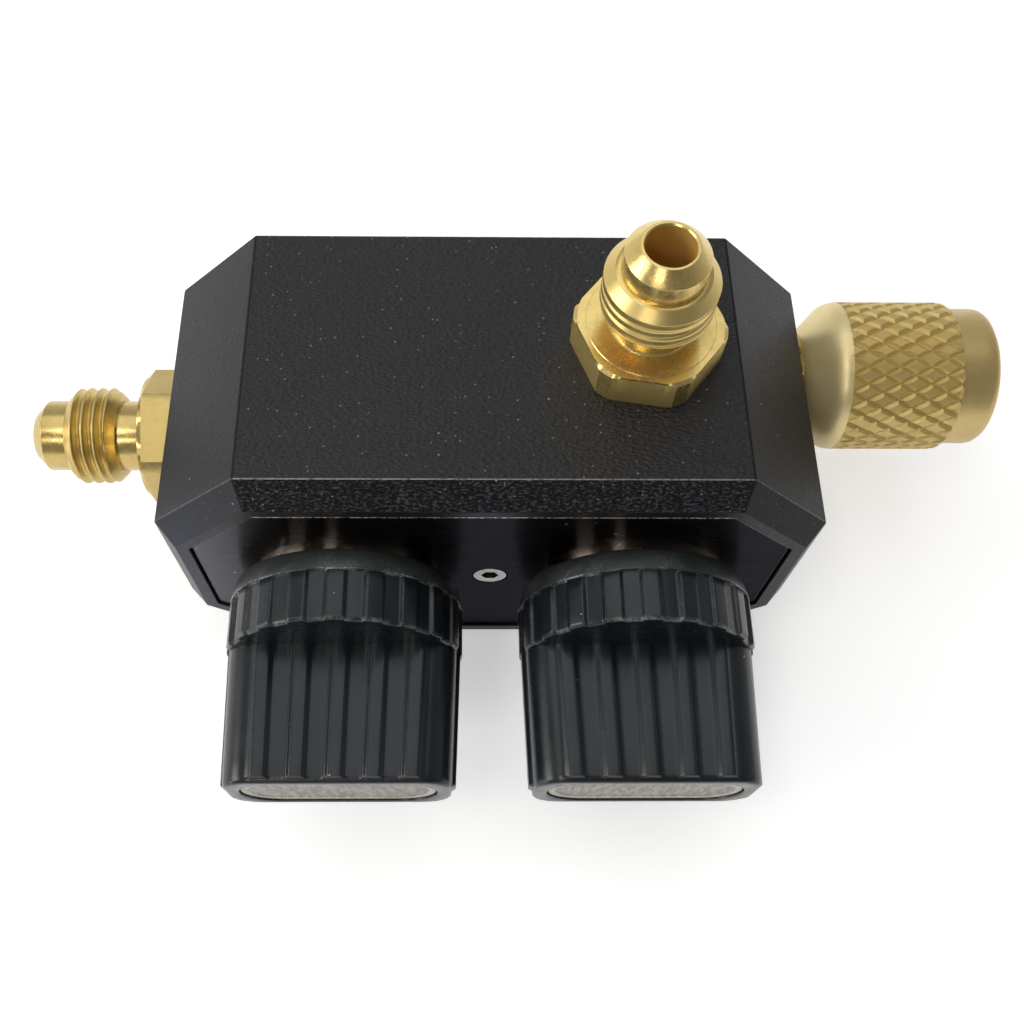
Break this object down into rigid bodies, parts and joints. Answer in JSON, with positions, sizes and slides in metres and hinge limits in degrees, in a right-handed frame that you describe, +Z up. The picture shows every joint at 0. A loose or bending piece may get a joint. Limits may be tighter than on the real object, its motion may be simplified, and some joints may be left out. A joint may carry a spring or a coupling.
{
  "type": "vacuum isolation valve",
  "caption": "Black eight-sided valve block with quarter-turn paddle knobs, brass flare fittings on side and top, and a knurled swivel nut.",
  "frame": {"origin": "middle of the bottom face of the block, on which it stands", "axes": "+X from the left flare fitting to the swivel nut, +Y from the knobs to the back, +Z up to the top flare fitting"},
  "size_m": [0.1111, 0.0588, 0.0539],
  "materials": {
    "block_black": "satin, fine pebble grain on top, smooth on the cut faces",
    "plate_black": "semi-gloss, fine horizontal brushing",
    "fitting_brass": "turned, bright",
    "nut_brass": "satin, knurled",
    "bonnet_brass": "turned, bright",
    "steel": "turned",
    "packing_white": "smooth, waxy",
    "ring_rubber": "smooth",
    "gasket_rubber": "smooth",
    "knob_black": "glossy moulded, worn rib edges",
    "label_grey": "satin, slightly yellowed"
  },
  "bodies": {
    "block": {"housing": "block_black", "front_plate": "plate_black", "plate_screw": "steel", "left_flare_fitting": "fitting_brass", "top_flare_fitting": "fitting_brass", "left_fitting_ring": "ring_rubber", "top_fitting_ring": "ring_rubber", "swivel_stub": "nut_brass", "swivel_gasket": "gasket_rubber", "left_bonnet": "bonnet_brass", "left_bonnet_ring": "ring_rubber", "left_stop_pin": "steel", "left_thrust_ring": "steel", "left_front_packing": "packing_white", "left_rear_packing": "packing_white", "right_bonnet": "bonnet_brass", "right_bonnet_ring": "ring_rubber", "right_stop_pin": "steel", "right_thrust_ring": "steel", "right_front_packing": "packing_white", "right_rear_packing": "packing_white"},
    "swivel": {"swivel_nut": "nut_brass"},
    "left_valve": {"left_ball_stem": "steel", "left_stem_rings": "ring_rubber", "left_knob": "knob_black", "left_knob_screw": "steel", "left_label_strip": "label_grey"},
    "right_valve": {"right_ball_stem": "steel", "right_stem_rings": "ring_rubber", "right_knob": "knob_black", "right_knob_screw": "steel", "right_label_strip": "label_grey"}
  },
  "joints": [
    {"name": "left_knob_turn", "type": "hinge", "parent": "block", "child": "left_valve", "pos_m": [-0.01555, -0.025, 0.019], "axis": [0, 1, 0], "range_deg": [0, 90]},
    {"name": "right_knob_turn", "type": "hinge", "parent": "block", "child": "right_valve", "pos_m": [0.01555, -0.025, 0.019], "axis": [0, 1, 0], "range_deg": [0, 90]},
    {"name": "swivel_turn", "type": "hinge", "parent": "block", "child": "swivel", "pos_m": [0.048, 0.0105, 0.019], "axis": [1, 0, 0], "continuous": true}
  ]
}
